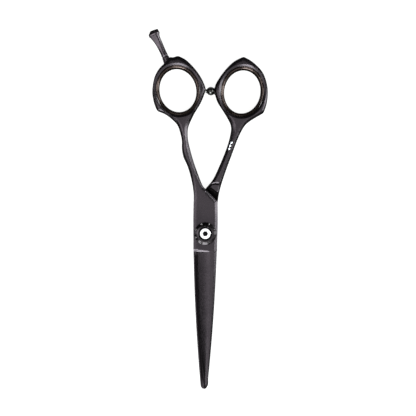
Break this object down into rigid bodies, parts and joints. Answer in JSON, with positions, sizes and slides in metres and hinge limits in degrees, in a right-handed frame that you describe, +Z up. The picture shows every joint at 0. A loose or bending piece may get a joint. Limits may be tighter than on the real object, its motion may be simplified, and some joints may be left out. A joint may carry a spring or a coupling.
{
  "type": "hair cutting shears",
  "caption": "Black hair cutting shears with offset finger rings, rubber ring inserts, a screwed-in finger rest, a bumper and a click tension dial at the pivot.",
  "frame": {"origin": "on the pivot axis, in the plane the closed shears lie on, at the middle of the pivot screw's head", "axes": "+Y from the pivot towards the finger rings, +X towards the thumb ring, +Z up from the table along the pivot axis"},
  "size_m": [0.0549, 0.1651, 0.0074],
  "materials": {
    "black_steel": "satin black coating on steel",
    "dial_black": "glossy black coating on steel",
    "polished_steel": "polished",
    "spring_steel": "rolled",
    "rubber": "smooth, slightly shiny",
    "ptfe": "matt white",
    "bronze": "turned",
    "crystal": "cut and foil-backed"
  },
  "bodies": {
    "finger_half": {"finger_blade_half": "black_steel", "finger_rest": "black_steel", "finger_ring_insert": "rubber", "pivot_screw": "black_steel", "dial_washer": "ptfe", "click_spring": "spring_steel"},
    "dial": {"tension_dial": "dial_black", "dial_cap": "polished_steel"},
    "thumb_half": {"thumb_blade_half": "black_steel", "thumb_ring_insert": "rubber", "pivot_bushing": "bronze", "blade_washer": "ptfe", "rear_washer": "ptfe", "bumper_pad": "rubber", "bumper_stud": "black_steel", "shank_crystal_1": "crystal", "shank_crystal_2": "crystal", "shank_crystal_3": "crystal"}
  },
  "joints": [
    {"name": "pivot", "type": "hinge", "parent": "finger_half", "child": "thumb_half", "pos_m": [0, 0, 0.003], "axis": [0, 0, -1], "range_deg": [0, 110]},
    {"name": "dial_turn", "type": "hinge", "parent": "finger_half", "child": "dial", "pos_m": [0, 0, 0.0065], "axis": [0, 0, 1], "range_deg": [-135, 135]}
  ]
}
